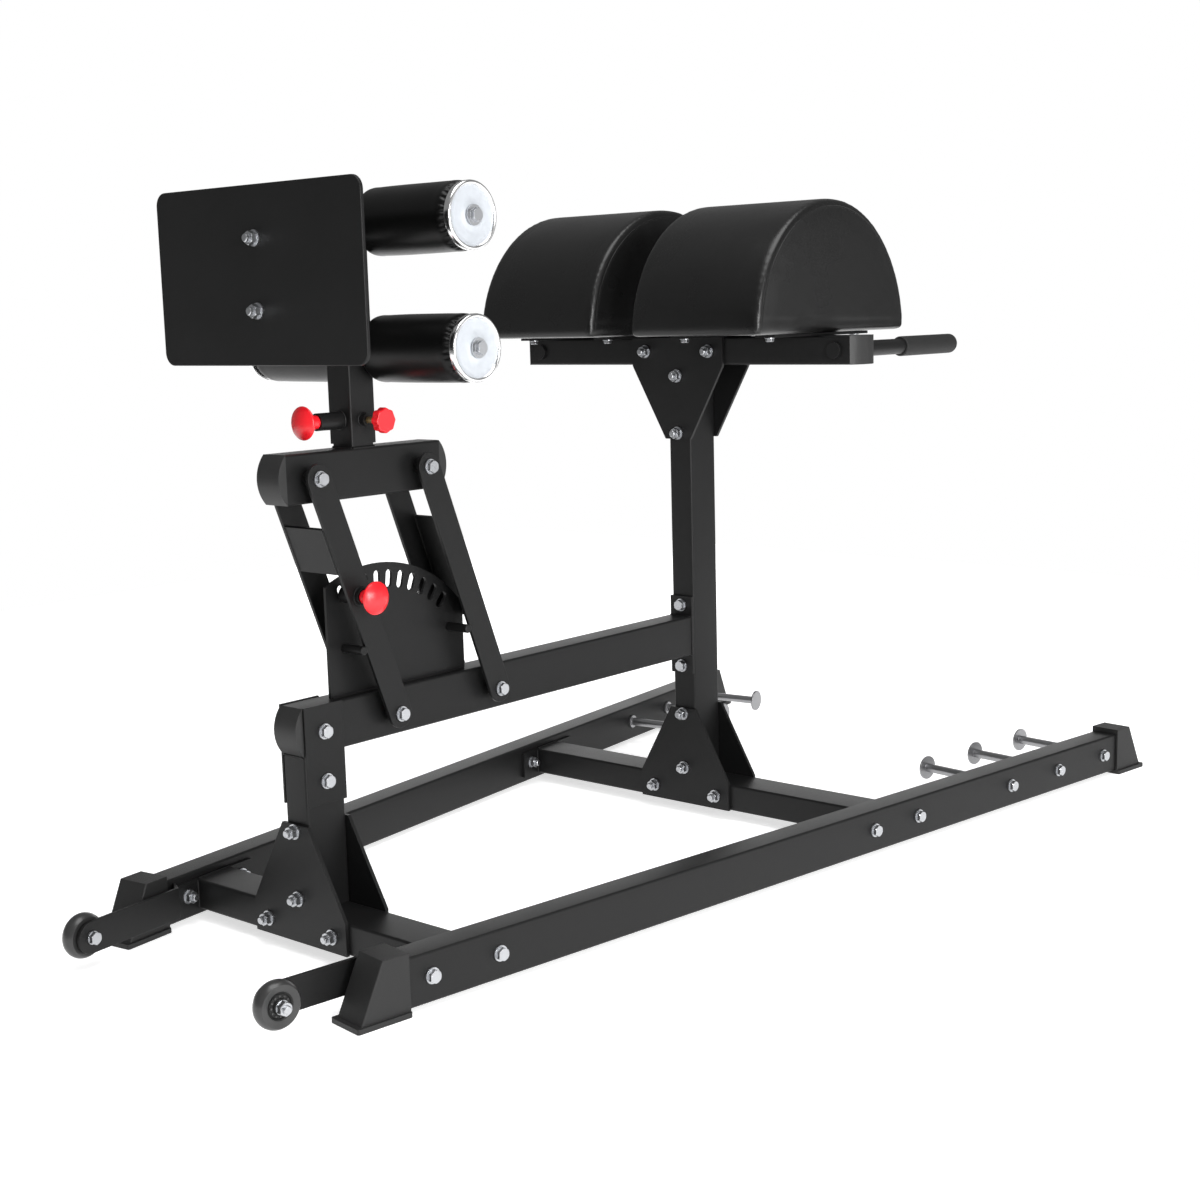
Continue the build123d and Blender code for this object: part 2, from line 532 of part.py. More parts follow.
panel = Plane(origin=(PLATE_X, 0, sum(PLATE_Z) / 2), x_dir=Y, z_dir=X)
panel = extrude(panel * RectangleRounded(2 * PLATE_HALF, PLATE_Z[1] - PLATE_Z[0], 20), amount=PANEL_T)
for z in PLATE_BOLT_Z:
    panel -= rod((PLATE_X - 1, 0, z), (PLATE_X + 9, 0, z), 6.3)
panel = chamfer(panel.edges().group_by(Axis.X)[0], 1.0)
save("foot_plate", panel)
save("plate_bolts", [put(bolt(PANEL_T + 6), (PLATE_X + PANEL_T + 6, 0, z), MX) for z in PLATE_BOLT_Z])

axle_x = sx1 + AXLE_R
axles, roller_bolts = [], []
for z in ROLLER_Z:
    seat = block(sx1, axle_x, -FACE, FACE, z - AXLE_R, z + AXLE_R)
    axles.append(seat + rod((axle_x, -237, z), (axle_x, 237, z), AXLE_R))
    end_bolt = bolt(0.0, nut=0, washer=15)
    roller_bolts += both(put(end_bolt, (axle_x, 237, z), MY))
save("roller_axles", axles)
save("roller_bolts", roller_bolts)

# foam roller, and a deep round cap with a raised rim over its outer end
FOAM_Y = (34.0, 225.0)
FOAM_L = FOAM_Y[1] - FOAM_Y[0]
BORE = AXLE_R + 0.06
foam = Polyline((BORE, 0), (ROLLER_R, 0), (ROLLER_R, FOAM_L), (BORE, FOAM_L), close=True)
foam = revolve(Plane.XZ * make_face(foam), Axis.Z)
foam = fillet(foam.edges().filter_by(lambda e: e.length > 300), 7.0)
CAP_R = 49.5
disc = Polyline(
    (AXLE_R + 1.0, 0), (CAP_R - 2, 0), (CAP_R, 2), (CAP_R, 8.5), (CAP_R - 1.2, 10.8), (CAP_R - 3.6, 11.5),
    (CAP_R - 6, 10.6), (CAP_R - 7, 9.2), (AXLE_R + 1.0, 10.6), close=True,
)
disc = revolve(Plane.XZ * make_face(disc), Axis.Z)
for level, z in (("lower", ROLLER_Z[0]), ("upper", ROLLER_Z[1])):
    for side, s in (("left", 1), ("right", -1)):
        save(f"roller_{level}_{side}", put(foam, (axle_x, FOAM_Y[0] * s, z), (0, s, 0)))
        save(f"roller_disc_{level}_{side}", put(disc, (axle_x, (FOAM_Y[1] + 0.2) * s, z), (0, s, 0)))
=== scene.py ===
# %% [markdown]
# # Dressing a glute-ham bench
# The bench is a splayed base, a low spine, a carriage that swings on two pairs of links, and a
# tall post with two half-round pads. Its sizes are settled before this file starts: the packed
# model gives every tube, plate and bolt in its true place. This file gives each piece its
# finish, rounds the edges that light catches, and builds the soft pieces and small details.
# Lengths are in metres.

import json
import math
import random

import bmesh
import bpy
from mathutils import Matrix, Vector, noise
from mathutils.bvhtree import BVHTree

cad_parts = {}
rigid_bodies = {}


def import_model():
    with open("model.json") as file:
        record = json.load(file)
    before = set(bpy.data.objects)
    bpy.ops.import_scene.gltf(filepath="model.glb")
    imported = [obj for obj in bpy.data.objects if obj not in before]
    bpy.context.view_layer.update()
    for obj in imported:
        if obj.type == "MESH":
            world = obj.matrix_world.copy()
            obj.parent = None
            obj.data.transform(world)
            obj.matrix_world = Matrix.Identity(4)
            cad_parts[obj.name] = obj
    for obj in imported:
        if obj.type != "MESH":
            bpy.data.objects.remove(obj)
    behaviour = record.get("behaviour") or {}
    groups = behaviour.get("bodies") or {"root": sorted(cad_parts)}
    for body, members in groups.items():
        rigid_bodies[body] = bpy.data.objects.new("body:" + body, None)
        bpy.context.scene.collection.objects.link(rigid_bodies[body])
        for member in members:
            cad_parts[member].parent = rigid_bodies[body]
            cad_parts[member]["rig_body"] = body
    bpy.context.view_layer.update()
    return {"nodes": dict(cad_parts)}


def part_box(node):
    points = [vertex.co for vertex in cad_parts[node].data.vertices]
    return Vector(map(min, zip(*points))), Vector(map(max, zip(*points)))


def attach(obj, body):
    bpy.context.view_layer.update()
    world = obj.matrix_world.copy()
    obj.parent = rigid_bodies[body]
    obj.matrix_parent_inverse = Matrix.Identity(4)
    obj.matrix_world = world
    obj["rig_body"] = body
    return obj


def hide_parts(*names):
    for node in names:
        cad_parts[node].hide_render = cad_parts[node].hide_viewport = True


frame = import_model()
nodes = frame["nodes"]
random.seed(7)                  # the rollers' lumps are the only thing left to chance

# %% [markdown]
# ## The camera
# The camera stands low, off the foot end's right corner. It comes first, because every later
# look at a finish is judged through it. A camera looks down its own -Z, so its three axes are
# set from the directions that are right, up and backwards in the view.

# %% Camera
camera_at = Vector((-2.42815, -2.05565, 0.96231))
right = Vector((0.648621, -0.760662, -0.026156))
up = Vector((0.138992, 0.084591, 0.986674))

camera = bpy.data.objects.new("camera", bpy.data.cameras.new("camera"))
bpy.context.scene.collection.objects.link(camera)
axes = Matrix((right, up, right.cross(up))).transposed()
camera.matrix_world = Matrix.Translation(camera_at) @ axes.to_4x4()
camera.data.sensor_width = 36.0
camera.data.lens = 53.44
camera.data.clip_start, camera.data.clip_end = 0.05, 60.0
bpy.context.scene.camera = camera
print("camera at", [round(v, 3) for v in camera.location], "lens", camera.data.lens)

# %% [markdown]
# ## Writing shader sums as sums
# A pattern such as grain on a coat of powder is arithmetic on a few textures. Wiring it node
# by node is slow to read, so a small class wraps a socket and turns +, - and * into Math
# nodes. A second class holds one finish: it makes the Principled shader, adds any node by
# type, and plugs values or other sockets into it.

# %% Signal: a socket that can be added and multiplied
class Signal:
    def __init__(self, finish, socket):
        self.finish = finish
        self.socket = socket

    def maths(self, operation, first, second):
        return self.finish.add("ShaderNodeMath", {"operation": operation}, {0: first, 1: second})

    def __add__(self, other):
        return self.maths("ADD", self, other)

    __radd__ = __add__

    def __mul__(self, other):
        return self.maths("MULTIPLY", self, other)

    __rmul__ = __mul__

    def __sub__(self, other):
        return self.maths("SUBTRACT", self, other)


# %% Finish: one material and the nodes that feed it
class Finish:
    def __init__(self, name, colour, roughness, **fixed):
        self.material = bpy.data.materials.new(name)
        self.material.use_nodes = True
        self.tree = self.material.node_tree
        self.shader = self.tree.nodes["Principled BSDF"]
        self.shader.inputs["Base Color"].default_value = (*colour, 1.0)
        self.shader.inputs["Roughness"].default_value = roughness
        for socket, value in fixed.items():
            self.shader.inputs[socket.replace("_", " ")].default_value = value
        self.place = self.add("ShaderNodeTexCoord", {}, {}, "Object")

    def plug(self, value, socket):
        """Link a signal to a socket, or set a colour or a plain number on it."""
        if isinstance(value, Signal):
            self.tree.links.new(value.socket, socket)
        elif hasattr(value, "__len__") and len(value) == 3 and socket.type == "RGBA":
            socket.default_value = (*value, 1.0)
        else:
            socket.default_value = value

    def add(self, kind, settings, inputs, output=0):
        """Make a node, set it up, plug its inputs and return one of its outputs."""
        node = self.tree.nodes.new(kind)
        for key, value in settings.items():
            if key == "stops":
                while len(node.color_ramp.elements) < len(value):
                    node.color_ramp.elements.new(0.5)
                for element, (at, shade) in zip(node.color_ramp.elements, value):
                    element.position = at
                    element.color = (shade, shade, shade, 1.0)
            else:
                setattr(node, key, value)
        for key, value in inputs.items():
            self.plug(value, node.inputs[key])
        return Signal(self, node.outputs[output])

    def feed(self, socket, value):
        self.plug(value, self.shader.inputs[socket])

    def noise(self, scale, detail=2.0, rough=0.5):
        inputs = {"Vector": self.place, "Scale": scale, "Detail": detail, "Roughness": rough}
        return self.add("ShaderNodeTexNoise", {}, inputs)

    def ramp(self, value, *stops):
        return self.add("ShaderNodeValToRGB", {"stops": stops}, {"Fac": value})

    def tint(self, mask, dark, light):
        return self.add("ShaderNodeMix", {"data_type": "RGBA"}, {0: mask, 6: dark, 7: light}, 2)

    def bump(self, height, distance, strength):
        inputs = {"Strength": strength, "Distance": distance, "Height": height}
        self.feed("Normal", self.add("ShaderNodeBump", {}, inputs))


print("shader helpers ready")

# %% [markdown]
# ## Powder coat
# Nearly every steel piece is sprayed with black powder and baked. The powder melts into a
# satin skin with a fine orange-peel ripple, about a millimetre across, and it is slightly
# duller where it went on thick. The colour is close to black, so what the eye reads is the
# sheen: a soft roughness, varied a little, with a very shallow bump and a few brighter specks.

# %% Powder coat
def powder_coat(name, shade, rough):
    coat = Finish(name, (shade,) * 3, rough, Specular_IOR_Level=0.24)
    cloud = coat.noise(9.0, 3.0)
    peel = coat.noise(900.0, 1.0)
    speck = coat.ramp(coat.noise(2600.0, 0.0), (0.62, 0.0), (0.74, 1.0))
    coat.feed("Roughness", rough - 0.05 + 0.10 * cloud + 0.06 * speck)
    light = (shade * 1.6, shade * 1.6, shade * 1.68)
    coat.feed("Base Color", coat.tint(0.35 * cloud + 0.3 * speck, (shade * 0.8,) * 3, light))
    coat.bump(peel * 0.7 + 0.3 * speck, 0.00022, 0.5)
    return coat.material


black_coat = powder_coat("black_powder_coat", 0.0075, 0.42)
print("made", black_coat.name)

# %% [markdown]
# ## Upholstery vinyl
# The pads and rollers are covered in black vinyl pressed with a leather grain. The grain is
# a net of small cells, so a Voronoi pattern gives the furrows, and a wider noise makes some
# patches rest a little glossier, as they do where skin and clothing polish the cover.

# %% Upholstery vinyl
def vinyl(name, shade, rough, grain, specular):
    skin = Finish(name, (shade,) * 3, rough, Specular_IOR_Level=specular)
    wobble = skin.noise(260.0, 2.0)
    settings = {"feature": "DISTANCE_TO_EDGE"}
    cells = skin.add("ShaderNodeTexVoronoi", settings, {"Vector": skin.place, "Scale": 620.0})
    furrow = skin.ramp(cells, (0.0, 0.0), (0.16, 1.0))
    worn = skin.noise(7.0, 3.0)
    skin.feed("Roughness", rough - 0.06 + 0.14 * worn - 0.05 * furrow)
    # the grain's furrows are painted darker than its cells: painted shade in the recesses; the wider noise
    # varies the tone at random
    painted_furrow_shade = (shade * 0.55,) * 3, (shade * 1.15,) * 3
    skin.feed("Base Color", skin.tint(furrow * (0.6 + 0.4 * wobble), *painted_furrow_shade))
    skin.bump(furrow * 0.6 + 0.4 * wobble, 0.0002, grain)
    return skin.material


pad_vinyl = vinyl("pad_vinyl", 0.006, 0.32, 0.35, 0.4)
roller_vinyl = vinyl("roller_vinyl", 0.003, 0.34, 0.25, 0.22)
print("made", pad_vinyl.name, roller_vinyl.name)

# %% [markdown]
# ## Rubber, plastic and foam
# Feet are matt moulded rubber with a fine spark-eroded texture. End caps are harder plastic
# with a faint satin. The tyre is smooth polyurethane, the handle grips are dense foam rubber
# full of tiny closed pores, and a pad's underside is lined with thin black cloth.

# %% Rubber, plastic, foam and lining
def moulded(name, shade, rough, scale, depth, spread=0.1, specular=0.35):
    mould = Finish(name, (shade,) * 3, rough, Specular_IOR_Level=specular)
    grain = mould.noise(scale, 2.0, 0.6)
    cloud = mould.noise(14.0, 2.0)
    mould.feed("Roughness", rough - spread / 2 + spread * cloud)
    mould.feed("Base Color", mould.tint(cloud, (shade * 0.8,) * 3, (shade * 1.25,) * 3))
    mould.bump(grain, depth, 0.6)
    return mould.material


foot_rubber = moulded("foot_rubber", 0.013, 0.55, 1500.0, 0.0003)
cap_plastic = moulded("cap_plastic", 0.02, 0.46, 1200.0, 0.00012)
wheel_urethane = moulded("wheel_urethane", 0.03, 0.3, 500.0, 0.00006, specular=0.5)
grip_foam = moulded("grip_foam", 0.013, 0.66, 1100.0, 0.0004)
lining = moulded("board_lining", 0.012, 0.85, 1800.0, 0.0003)
thread_black = moulded("seam_thread", 0.02, 0.6, 2400.0, 0.0001)
hub_nylon = moulded("hub_nylon", 0.005, 0.5, 1200.0, 0.0001)
hub_pip = moulded("hub_pip", 0.06, 0.25, 600.0, 0.00004, specular=0.5)
print("made", foot_rubber.name, cap_plastic.name, wheel_urethane.name, grip_foam.name)

# %% [markdown]
# ## Bright metal
# Bolts are zinc plated, which is bright but clouded and slightly blue. The band pegs and the
# rims of the roller caps are chromed. The face of each roller cap is a brushed disc under a
# milky film, so it is pale and soft rather than a mirror.

# %% Bright metal
def plated(name, colour, rough, cloud_scale, spread, depth=0.00003, metal=1.0):
    plate = Finish(name, colour, rough, Metallic=metal)
    cloud = plate.noise(cloud_scale, 4.0, 0.6)
    dark = tuple(c * 0.8 for c in colour)
    plate.feed("Roughness", rough - spread / 2 + spread * cloud)
    plate.feed("Base Color", plate.tint(cloud, dark, colour))
    plate.bump(plate.noise(1400.0, 2.0), depth, 0.5)
    return plate.material


zinc = plated("zinc_plate", (0.52, 0.53, 0.55), 0.3, 160.0, 0.22)
chrome = plated("peg_chrome", (0.36, 0.36, 0.37), 0.34, 60.0, 0.1)
cap_chrome = plated("cap_chrome", (0.93, 0.93, 0.93), 0.2, 40.0, 0.1)
disc_film = plated("disc_film", (0.59, 0.62, 0.66), 0.42, 90.0, 0.12, metal=0.3)
brass_thread = plated("brass_thread", (0.72, 0.58, 0.36), 0.3, 200.0, 0.15)
steel_pin = plated("steel_pin", (0.5, 0.5, 0.52), 0.32, 120.0, 0.15)
print("made", zinc.name, chrome.name, disc_film.name, brass_thread.name)

# %% [markdown]
# ## Red knobs
# The knobs are glossy moulded plastic, the only colour on the bench. A clear, slightly soft
# coat over a deep red body gives the broad pale highlight of moulded plastic.

# %% Red plastic
red = Finish("knob_red", (0.78, 0.01, 0.018), 0.34, Coat_Weight=0.2, Coat_Roughness=0.2)
smear = red.noise(30.0, 3.0)
red.feed("Roughness", 0.28 + 0.14 * smear)
red.feed("Base Color", red.tint(smear, (0.74, 0.007, 0.014), (0.86, 0.012, 0.022)))
red.bump(red.noise(700.0, 1.0), 0.00008, 0.35)
knob_red = red.material
print("made", knob_red.name)

# %% [markdown]
# ## Rounded edges on the steel
# Cut plate and sawn tube never have knife edges: deburring and the coat leave a radius of
# about a millimetre, and that thin line of light is what makes steel read as steel. A packed
# node is loose triangles, so a copy is merged first. Flat areas are then joined back into
# whole faces, and a Bevel modifier rounds only the sharp edges. Round pieces keep their facets.

# %% A softened copy of a node
def new_object(name, bm):
    """Turn a bmesh into an object at the origin, and free the bmesh."""
    piece = bpy.data.objects.new(name, bpy.data.meshes.new(name))
    bpy.context.scene.collection.objects.link(piece)
    bm.to_mesh(piece.data)
    bm.free()
    return piece


def show(piece, finish, slot, body, *hidden):
    """Give a piece its finish, or several, and put it on its body in place of some nodes."""
    for one in finish if isinstance(finish, tuple) else (finish,):
        piece.data.materials.append(one)
    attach(piece, body)
    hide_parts(*hidden)
    return piece


def merged(name):
    """A node's mesh with its loose triangles joined at their corners."""
    bm = bmesh.new()
    bm.from_mesh(nodes[name].data)
    bmesh.ops.remove_doubles(bm, verts=bm.verts, dist=0.00002)
    return bm


def shade(bm, limit):
    """Smooth shading, with a crease at every edge that turns by more than limit degrees."""
    for face in bm.faces:
        face.smooth = True
    for edge in bm.edges:
        edge.smooth = len(edge.link_faces) == 2 and edge.calc_face_angle(3.0) < math.radians(limit)


def softened(name, width, finish, slot, segments=2, limit=35.0, flat=True):
    """Show a node with edges rounded by width; flat says that it has flat areas to rejoin."""
    bm = merged(name)
    if flat:
        bmesh.ops.dissolve_limit(bm, angle_limit=0.0035, verts=bm.verts, edges=bm.edges)
    shade(bm, limit)
    piece = new_object(name + "_dressed", bm)
    if width:
        bevel = piece.modifiers.new("rounded_edges", "BEVEL")
        bevel.width = width
        bevel.segments = segments
        bevel.limit_method = "ANGLE"
        bevel.angle_limit = math.radians(limit)
        bevel.use_clamp_overlap = True
        bevel.harden_normals = True
    else:
        leaning = piece.modifiers.new("flat_faces_lead", "WEIGHTED_NORMAL")
        leaning.keep_sharp = True
    show(piece, finish, slot, nodes[name]["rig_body"], name)


# %% Steel plates and tubes
plate_edge, tube_edge, bolt_edge = 0.0009, 0.0006, 0.0003

steel_plates = ["gusset_plates", "spine_cheeks", "sector_plate", "foot_plate", "pad_straps", "wheel_bars",
                "link_foot_side", "link_pad_side"]
steel_tubes = ["rail_left", "rail_right", "front_cross", "rear_cross", "front_upright", "main_upright",
               "spine", "pad_beam", "handle_bars", "top_beam", "post_sleeve", "plate_standoffs",
               "roller_axles", "stop_rods"]
for name in steel_plates:
    softened(name, plate_edge, black_coat, "steel")
for name in steel_tubes:
    softened(name, tube_edge, black_coat, "steel")
print("softened", len(steel_plates) + len(steel_tubes), "steel nodes")

# %% Fasteners, pins and knobs
for name in ["rail_bolts", "gusset_bolts", "spine_bolts", "wheel_bolts", "peg_bolts", "pad_bolts",
             "plate_bolts", "roller_bolts", "pivot_bolts_lower", "pivot_bolts_upper"]:
    softened(name, bolt_edge, zinc, "zinc", limit=28.0)
for name in ["index_pin", "sleeve_pin"]:
    softened(name, 0.0, steel_pin, "zinc", flat=False)
softened("tension_screw", 0.0, brass_thread, "brass", flat=False)
for name in ["index_pin_knob", "sleeve_pin_knob", "tension_knob"]:
    softened(name, 0.0, knob_red, "red_plastic", limit=40.0, flat=False)
print("fasteners and knobs dressed")

# %% Caps, wheels, pegs, feet and grips
cap_edge, spacer_edge, foot_edge = 0.0015, 0.0004, 0.0022

for name in ["frame_end_caps", "top_beam_caps"]:
    softened(name, cap_edge, cap_plastic, "cap_plastic", segments=3)
for name in ["pivot_spacers_lower", "pivot_spacers_upper"]:
    softened(name, spacer_edge, black_coat, "steel")
for name in ["wheel_tyre_left", "wheel_tyre_right"]:
    softened(name, 0.0, wheel_urethane, "tyre", flat=False)
softened("band_pegs", bolt_edge, chrome, "chrome")
softened("foot_caps", foot_edge, foot_rubber, "rubber", segments=3)
softened("handle_grips", 0.0, grip_foam, "rubber", flat=False)

# %% [markdown]
# ## From a bmesh to a shown piece
# Everything that follows is built new. One helper smooths a finished bmesh's shading up to a
# chosen edge angle and hands it to its body. Two more spin a profile round the Z axis and
# stand the result where it belongs, so that a turned part is made lying at the origin first.

# %% A new piece
def piece_from(bm, name, finish, slot, body, *hidden, limit=40.0):
    shade(bm, limit)
    return show(new_object(name, bm), finish, slot, body, *hidden)


def centre(name):
    low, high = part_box(name)
    return (low + high) / 2


def spun(profile, steps):
    """Turn a closed outline of (radius, height) points once round the Z axis."""
    bm = bmesh.new()
    verts = [bm.verts.new((r, 0, z)) for r, z in profile]
    edges = [bm.edges.new(pair) for pair in zip(verts, verts[1:] + verts[:1])]
    bmesh.ops.spin(bm, geom=verts + edges, axis=(0, 0, 1), angle=2 * math.pi, steps=steps, use_merge=True)
    bmesh.ops.remove_doubles(bm, verts=bm.verts, dist=0.000005)
    bmesh.ops.recalc_face_normals(bm, faces=bm.faces)
    return bm


def stand(bm, at, way):
    """Lay a piece that was made along +Z at a point, pointing along a direction."""
    turn = Vector(way).to_track_quat("Z", "X").to_matrix().to_4x4()
    bmesh.ops.transform(bm, matrix=Matrix.Translation(at) @ turn, verts=bm.verts)


print("helpers for new pieces ready")

# %% [markdown]
# ## Two half-round pads
# A pad is firm foam glued to a curved plywood box, with vinyl pulled tight over it and tacked
# underneath. It could be a plain half cylinder, but foam under tension swells a little
# between its edges and its corners go soft. So a copy is remeshed evenly, the underside is
# pinned, and a short cloth simulation blows it up by a few millimetres. A tight cover has no
# wrinkles, so only the outward swell is kept, spread over each point's neighbours and capped.

# %% Blowing up a pad
grow_across, shrink_along = 0.0010, 0.0002      # each side of the copy, before it swells
lift = 0.0008                                   # the cover's underside clears the board's
voxel = 0.0055
tack_band = 0.004                               # height of the pinned rim
swell_cap = 0.0035
cloth_frames = 14


def baked(piece):
    """Replace a piece's mesh with what its modifiers make of it."""
    bpy.context.view_layer.update()
    graph = bpy.context.evaluated_depsgraph_get()
    mesh = bpy.data.meshes.new_from_object(piece.evaluated_get(graph))
    piece.modifiers.clear()
    old, piece.data = piece.data, mesh
    bpy.data.meshes.remove(old)


def ironed(piece, start):
    """Keep how far the skin swelled along its normals, evened out over its neighbours."""
    normals = [n.vector.copy() for n in piece.data.vertex_normals]
    near = [[] for _ in start]
    for edge in piece.data.edges:
        a, b = edge.vertices
        near[a].append(b)
        near[b].append(a)
    moved = [(v.co - rest).dot(n) for v, rest, n in zip(piece.data.vertices, start, normals)]
    swell = [swell_cap * math.tanh(max(-0.0004, m) / swell_cap) for m in moved]
    for _ in range(14):
        swell = [(swell[k] + sum(swell[j] for j in round_it)) / (1 + len(round_it))
                 for k, round_it in enumerate(near)]
    for v, rest, n, out in zip(piece.data.vertices, start, normals, swell):
        v.co = rest + n * out
    print(piece.name, "swells by", round(max(swell) * 1000, 1), "mm at most")


def remeshed(name):
    """The pad a touch wider and lower, with an even skin whose corners are eased."""
    low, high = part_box(name)
    middle, size = (low + high) / 2, high - low
    bm = merged(name)
    for v in bm.verts:
        v.co.x = middle.x + (v.co.x - middle.x) * (1 + 2 * grow_across / size.x)
        v.co.y = middle.y + (v.co.y - middle.y) * (1 - 2 * shrink_along / size.y)
        v.co.z = low.z + lift + (v.co.z - low.z) * (1 + (grow_across - lift) / size.z)
    piece = new_object(name + "_cover", bm)
    remesh = piece.modifiers.new("even_skin", "REMESH")
    remesh.mode = "VOXEL"
    remesh.voxel_size = voxel
    baked(piece)
    bm = bmesh.new()
    bm.from_mesh(piece.data)
    loose = [v for v in bm.verts if v.co.z > low.z + lift + tack_band]
    for _ in range(2):
        bmesh.ops.smooth_vert(bm, verts=loose, factor=0.5, use_axis_x=True, use_axis_y=True, use_axis_z=True)
    bm.to_mesh(piece.data)
    bm.free()
    return piece


def stuffed(name):
    piece = remeshed(name)
    rim_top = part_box(name)[0].z + lift + tack_band
    start = [v.co.copy() for v in piece.data.vertices]
    tacked = piece.vertex_groups.new(name="tacked")
    tacked.add([v.index for v in piece.data.vertices if v.co.z < rim_top], 1.0, "REPLACE")
    cloth = piece.modifiers.new("swell", "CLOTH")
    cloth.settings.vertex_group_mass = "tacked"
    cloth.settings.use_pressure = True
    cloth.settings.uniform_pressure_force = 4.0
    cloth.settings.effector_weights.gravity = 0.0
    cloth.settings.tension_stiffness = cloth.settings.compression_stiffness = 40.0
    cloth.settings.bending_stiffness = 2.0
    for frame_number in range(1, cloth_frames + 1):
        bpy.context.scene.frame_set(frame_number)
    baked(piece)
    bpy.context.scene.frame_set(1)
    ironed(piece, start)
    return piece


# %% The cover's tucks along the bottom
tuck_height, tuck_reach = 0.045, 0.03
ripple, crease_depth = 0.0016, 0.0011


def tucked(piece, name):
    """The vinyl's end panels ripple slightly where they turn under the board."""
    low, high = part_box(name)
    for v in piece.data.vertices:
        above = v.co.z - low.z
        out = 1 if v.co.y > (low.y + high.y) / 2 else -1
        to_end = (high.y - v.co.y) if out > 0 else (v.co.y - low.y)
        if 0.003 < above < tuck_height and to_end < tuck_reach:
            near = math.sin(math.pi * above / tuck_height) * (1 - to_end / tuck_reach)
            wave = noise.noise(Vector((v.co.x * 16, out * 3.1, 0.3)))
            crease = math.exp(-((above - 0.015 - 0.02 * (high.x - v.co.x)) / 0.0035) ** 2)
            v.co.y += out * near * (ripple * wave - crease_depth * crease)
    sub = piece.modifiers.new("round_off", "SUBSURF")
    sub.levels = sub.render_levels = 1
    baked(piece)
    for polygon in piece.data.polygons:
        polygon.use_smooth = True


pads = {}
for name in ["pad_left", "pad_right"]:
    pads[name] = stuffed(name)
    tucked(pads[name], name)
    pads[name].data.materials.clear()
    show(pads[name], pad_vinyl, "vinyl", nodes[name]["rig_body"], name)
    print(name, "faces:", len(pads[name].data.polygons))

# %% [markdown]
# ## Seams and the tacked underside
# The curved cover is sewn to two flat end panels. The seam is a fine ridge just inside each
# arc edge with a row of short stitches below it. Both are spun round the pad's own axis and
# then dropped onto the swollen skin, by asking which point of it is nearest. Underneath, a
# thin lining covers the board, held by staples, so the pad isn't a bare lump from below.

# %% Seams
seam_arc, seam_steps = math.radians(171), 150
seam_inset = 0.0025
ridge_size, ridge_sink = 0.0009, 0.00025
stitch_size, stitch_sink = 0.0005, 0.0001


def arc_round(seed, middle, row, copies):
    """Carry a small shape round a pad's arc, as a tube or as a row of copies, and keep it."""
    geom = seed.verts[:] + seed.edges[:] + seed.faces[:]
    bmesh.ops.rotate(seed, cent=middle, matrix=Matrix.Rotation(-seam_arc / 2, 3, "Y"), verts=seed.verts)
    bmesh.ops.spin(seed, geom=geom, cent=middle, axis=(0, 1, 0), angle=seam_arc, steps=seam_steps,
                   use_duplicate=copies)
    mesh = bpy.data.meshes.new("arc")
    seed.to_mesh(mesh)
    seed.free()
    row.from_mesh(mesh)
    bpy.data.meshes.remove(mesh)


def ridge_seed(at):
    seed = bmesh.new()
    bmesh.ops.create_circle(seed, segments=8, radius=ridge_size)
    bmesh.ops.rotate(seed, matrix=Matrix.Rotation(math.pi / 2, 3, "Y"), verts=seed.verts)
    bmesh.ops.translate(seed, vec=at, verts=seed.verts)
    return seed


def stitch_seed(at):
    seed = bmesh.new()
    bmesh.ops.create_uvsphere(seed, u_segments=5, v_segments=4, radius=stitch_size)
    bmesh.ops.scale(seed, vec=(3.0, 1.0, 1.0), verts=seed.verts)
    bmesh.ops.translate(seed, vec=at, verts=seed.verts)
    return seed


def loose_parts(bm):
    """The points of each separate part of a bmesh, part by part."""
    seen = set()
    for seed in bm.verts:
        if seed in seen:
            continue
        part, edge = {seed}, [seed]
        while edge:
            for e in edge.pop().link_edges:
                for v in e.verts:
                    if v not in part:
                        part.add(v)
                        edge.append(v)
        seen |= part
        yield part


def seam_on(name):
    low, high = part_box(name)
    axis_at = Vector(((low.x + high.x) / 2, 0, low.z - 0.003))
    reach = (high.x - low.x) / 2 - 0.0115
    rows = low.y + seam_inset, high.y - seam_inset
    ridge, threads = bmesh.new(), bmesh.new()
    for y in rows:
        arc_round(ridge_seed(axis_at + Vector((0, y, reach))), axis_at, ridge, False)
        arc_round(stitch_seed(axis_at + Vector((0, y, reach - 0.003))), axis_at, threads, True)
    skin = BVHTree.FromObject(pads[name], bpy.context.evaluated_depsgraph_get())
    for v in ridge.verts:
        spoke = Vector((v.co.x - axis_at.x, 0, v.co.z - axis_at.z)).normalized() * reach
        line = axis_at + spoke + Vector((0, min(rows, key=lambda row: abs(row - v.co.y)), 0))
        at, normal, _, _ = skin.find_nearest(line)
        v.co += at - line - normal * ridge_sink
    for part in loose_parts(threads):
        middle = Vector([math.fsum(v.co[k] for v in part) / len(part) for k in range(3)])
        at, normal, _, _ = skin.find_nearest(middle)
        for v in part:
            v.co += at - middle - normal * stitch_sink
    bmesh.ops.holes_fill(ridge, edges=[e for e in ridge.edges if e.is_boundary], sides=8)
    bmesh.ops.recalc_face_normals(ridge, faces=ridge.faces)
    piece_from(ridge, name + "_seam", pad_vinyl, "vinyl", nodes[name]["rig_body"])
    piece_from(threads, name + "_stitches", thread_black, "vinyl", nodes[name]["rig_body"])


# %% Lining and staples
lining_inset, lining_thick, lining_drop = 0.022, 0.0006, 0.0007
staple_inset, staple_length, staple_radius = 0.026, 0.010, 0.0004


